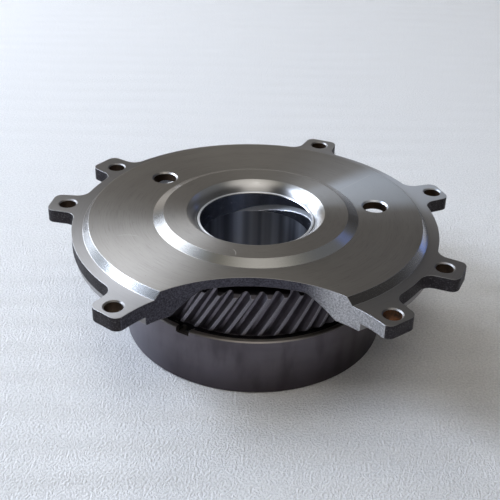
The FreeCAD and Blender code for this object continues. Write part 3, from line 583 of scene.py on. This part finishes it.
def drum_recipe(start):
    place = Place(start)
    rounded, edge = soft_edges(start, 0.4)
    tint = cloud(place.point, 0.045, 3.0, 0.6)
    smears = cloud(place.along_turning(), 0.22, 4.0)
    runs = cloud(joined(place.turn * 72.0, place.z * 0.3), 0.09, 3.0)
    top = step(place.up, 0.6, 0.8)
    # Painted shade: darker towards the foot, as the shade near the floor.
    foot = 1 - step(place.z, drum_foot, drum_middle)
    # Painted light: paler and bluer at the left, where the window's light falls.
    left = 1 - step(place.x, -66.0, -38.0)
    colour = mix(tint, tint_dark, tint_light)
    colour = mix(smears * 0.3, colour, smear_grey)
    colour = mix(step(runs, 0.42, 0.75) * 0.6, colour, run_dark)
    colour = mix(foot * 0.6, colour, painted_foot_shade)
    colour = mix(left * 0.5, colour, painted_left_light)
    colour = mix(top * 0.8, colour, top_rim)
    # Edges painted paler: partly wear, partly a painted highlight.
    colour = mix(edge * 0.45, colour, drum_edge_and_highlight)
    gloss = 0.36 + tint * 0.12
    height = rings(place, 2.0) * 0.4 + smears * 0.3
    return metal(start, colour, gloss, bumped(height, 0.008, rounded), 0.4)


dress(finish("drum_steel", drum_recipe), "drum_steel", "ring_gear_drum")


# %% [markdown]
# ## Bearings, washer, nut and rings
#
# These sit below and inside, and they show when the object is turned over. Ground bearing steel is the
# brightest metal here. Pressed cages are dull, the nut and spacer are plain turned steel, and the snap
# rings keep the black skin of spring steel. Four recipes would say the same thing four times, so one
# function makes a recipe from a few numbers: two colours, a gloss, the depth of the marks, the stretch.

# %% Mix the finishes of the small steel pieces
steel_edge_and_highlight = (0.75, 0.75, 0.75)


def steel_recipe(dark, light, gloss, depth, grain):
    """A recipe for plain steel, oily in patches, with edges painted paler: partly wear, partly a painted
    highlight.
    """
    def recipe(start):
        place = Place(start)
        rounded, edge = soft_edges(start, 0.3)
        oil = cloud(place.point, 0.12, 4.0)
        marks = rings(place, 2.5) * 0.6 + cloud(place.along_turning(), 1.0, 3.0) * 0.4
        colour = mix(oil, dark, light)
        # Edges painted paler: partly wear, partly a painted highlight.
        colour = mix(edge * 0.5, colour, steel_edge_and_highlight)
        return metal(start, colour, gloss + marks * 0.08, bumped(marks, depth, rounded), grain)

    return recipe


bright = finish("ground_steel", steel_recipe((0.50, 0.49, 0.49), (0.66, 0.66, 0.67), 0.16, 0.004, 0.4))
dull = finish("pressed_steel", steel_recipe((0.22, 0.20, 0.18), (0.36, 0.34, 0.32), 0.42, 0.03, 0.0))
plain = finish("plain_steel", steel_recipe((0.30, 0.29, 0.28), (0.44, 0.43, 0.43), 0.30, 0.015, 0.5))
black = finish("spring_steel", steel_recipe((0.035, 0.035, 0.038), (0.09, 0.09, 0.095), 0.38, 0.02, 0.2))
for side in ("upper", "lower"):
    dress(bright, "bearing_steel", *[side + "_bearing_" + part for part in ("cone", "cup", "rollers")])
dress(dull, "cage_steel", "upper_bearing_cage", "lower_bearing_cage")
dress(plain, "plain_steel", "cone_spacer", "lock_washer", "lock_nut")
dress(black, "spring_steel", "upper_snap_ring", "lower_snap_ring")


# %% [markdown]
# ## The floor
#
# The object stands on a pale packing sheet. A plain plane is enough, but a sheet with no texture looks
# like fog, so it gets a faint pebbled bump with long ripples. The pebbles could be real geometry, but
# they are about a millimetre across, and a bump shows them just as well. The plane is six metres wide,
# so that only a very low view shows where it ends.

# %% Lay the floor
sheet_shade, sheet_light = (0.79, 0.775, 0.77), (0.97, 0.955, 0.945)
floor_size = 6.0


def floor_recipe(start):
    metres = start.node("ShaderNodeTexCoord", output="Object")
    grains = cloud(metres, 850.0, 2.0, 0.7)
    lumps = cloud(metres, 140.0)
    wave_settings = {"wave_type": "BANDS", "bands_direction": "Y"}
    wave_inputs = {"Vector": metres, "Scale": 13.0, "Distortion": 3.5, "Detail": 2.0, "Detail Scale": 0.5}
    ridges = metres.node("ShaderNodeTexWave", wave_settings, wave_inputs, "Fac")
    colour = mix(step(grains, 0.30, 0.70), sheet_shade, sheet_light)
    height = grains * 1.9 + lumps * 0.3 + ridges * 1.5
    bump = {"Strength": 0.6, "Distance": 0.0018, "Height": height}
    inputs = {"Base Color": colour, "Roughness": 0.7, "Normal": metres.node("ShaderNodeBump", {}, bump)}
    return start.node("ShaderNodeBsdfPrincipled", {}, inputs, "BSDF")


half = floor_size / 2
corners = [(-half, -half, 0), (half, -half, 0), (half, half, 0), (-half, half, 0)]
floor_mesh = bpy.data.meshes.new("floor")
floor_mesh.from_pydata(corners, [], [(0, 1, 2, 3)])
floor_mesh.materials.append(finish("floor_sheet", floor_recipe))
floor = bpy.data.objects.new("floor", floor_mesh)
floor.location.z = cad_box[0].z
bpy.context.scene.collection.objects.link(floor)
floor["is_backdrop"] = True
print("floor at", round(floor.location.z, 4))

# %% [markdown]
# ## The light
#
# Metal shows what stands round it more than it shows its own colour, so the lights are also what the
# polished bevels reflect. A tall bank of daylight stands at the left, with a bright middle and dimmer
# parts beside and below it, and gives the wedge of light on the plate. Each part is a round lamp that
# covers twelve degrees to each side. One big lamp would be simpler, but its wedge would have no soft
# ends. Three small lamps overhead put the little lights in the mouth of the bore.

# %% Hang the lamps
lamp_distance = 1.7
lamp_reach = 12.0
small_reach, small_watts, small_gap = 2.0, 0.06, 7.0


def aim(azimuth, elevation):
    """The direction of a spot of the room; azimuth is counted from +X towards +Y."""
    turn, lift = math.radians(azimuth), math.radians(elevation)
    return Vector((math.cos(turn) * math.cos(lift), math.sin(turn) * math.cos(lift), math.sin(lift)))


def round_lamp(name, azimuth, elevation, reach, watts, colour):
    """A round flat lamp that faces the object; reach is half of the angle that it covers."""
    direction = aim(azimuth, elevation)
    lamp = bpy.data.lights.new(name, "AREA")
    lamp.shape = "DISK"
    lamp.size = 2 * lamp_distance * math.tan(math.radians(reach))
    lamp.energy = watts
    lamp.color = colour
    held = bpy.data.objects.new(name, lamp)
    held.location = direction * lamp_distance
    held.rotation_euler = (-direction).to_track_quat("-Z", "Y").to_euler()
    bpy.context.scene.collection.objects.link(held)


round_lamp("window_middle", 170.0, 34.0, lamp_reach, 19.0, (0.73, 0.83, 1.0))
round_lamp("window_low", 140.0, 18.0, lamp_reach, 7.8, (0.79, 0.87, 1.0))
round_lamp("window_back", 120.0, 42.0, lamp_reach, 5.6, (0.91, 0.955, 1.0))
round_lamp("window_high", 180.0, 42.0, lamp_reach, 5.5, (0.70, 0.80, 1.0))
for index in range(3):
    azimuth = 270.0 + (index - 1) * small_gap
    round_lamp("small_" + str(index + 1), azimuth, 76.0, small_reach, small_watts, (1.0, 1.0, 1.0))
print(len(bpy.data.lights), "lamps hung")


# %% [markdown]
# ## The room
#
# The rest of the room is dim. It is a few broad soft patches: the glow round the daylight, a paler
# corner behind the object, a lit spot of ceiling, and almost nothing at the right but two small blue
# ones, which tint the bevels there. A picture of a room would do too, but patches can be moved one by
# one while looking at the bevels. Each row holds a patch's azimuth and elevation, its reach in degrees,
# at which it has faded to nothing, and its tint.

# %% Paint the room
patches_of_room = [
    (160.0, 26.0, 45.0, (0.50, 0.57, 0.64)),
    (270.0, 42.0, 30.0, (0.62, 0.60, 0.56)),
    (100.0, 0.0, 30.0, (0.36, 0.33, 0.28)),
    (100.0, 34.0, 40.0, (0.055, 0.05, 0.045)),
    (50.0, 62.0, 45.0, (0.14, 0.15, 0.16)),
    (285.0, 75.0, 32.0, (0.80, 0.78, 0.76)),
    (45.0, 1.0, 8.0, (0.10, 0.30, 1.10)),
    (52.0, 36.0, 6.0, (0.04, 0.10, 0.38)),
]
low_glow = (0.20, 0.21, 0.235)
ceiling = (0.16, 0.14, 0.08)
dim = (0.036, 0.034, 0.032)


def room_recipe(start):
    direction = start.node("ShaderNodeTexCoord", output="Generated")
    height = direction.part("Z")
    colour = mix(step(height, 0.0, 0.35), low_glow, dim)
    colour = mix(step(height, 0.8, 1.0), colour, ceiling)
    for azimuth, elevation, reach, tint in patches_of_room:
        nearness = likeness(direction, aim(azimuth, elevation))
        inside = step(nearness, math.cos(math.radians(reach)), math.cos(math.radians(reach * 0.45)))
        added = mix(inside, (0.0, 0.0, 0.0), tint)
        colour = start.node("ShaderNodeVectorMath", {"operation": "ADD"}, {0: colour, 1: added})
    return start.node("ShaderNodeBackground", {}, {"Color": colour, "Strength": 1.0})


room = bpy.data.worlds.new("room")
room.use_nodes = True
room.node_tree.nodes.clear()
room_start = Wire(room.node_tree)
room_start.node("ShaderNodeOutputWorld", {}, {"Surface": room_recipe(room_start)})
bpy.context.scene.world = room
bpy.context.scene.view_settings.view_transform = "Standard"
print("the room has", len(patches_of_room), "patches of light")

# %% [markdown]
# ## The last measure
#
# The dressed object must be exactly as large as the shapes it started from. Both boxes are measured,
# and the largest change of a corner between them is printed.

# %% Compare the boxes and finish
visual_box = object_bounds()
change = max(abs(a - b) for p, q in zip(cad_box, visual_box) for a, b in zip(p, q))
print("largest change of a corner", change)
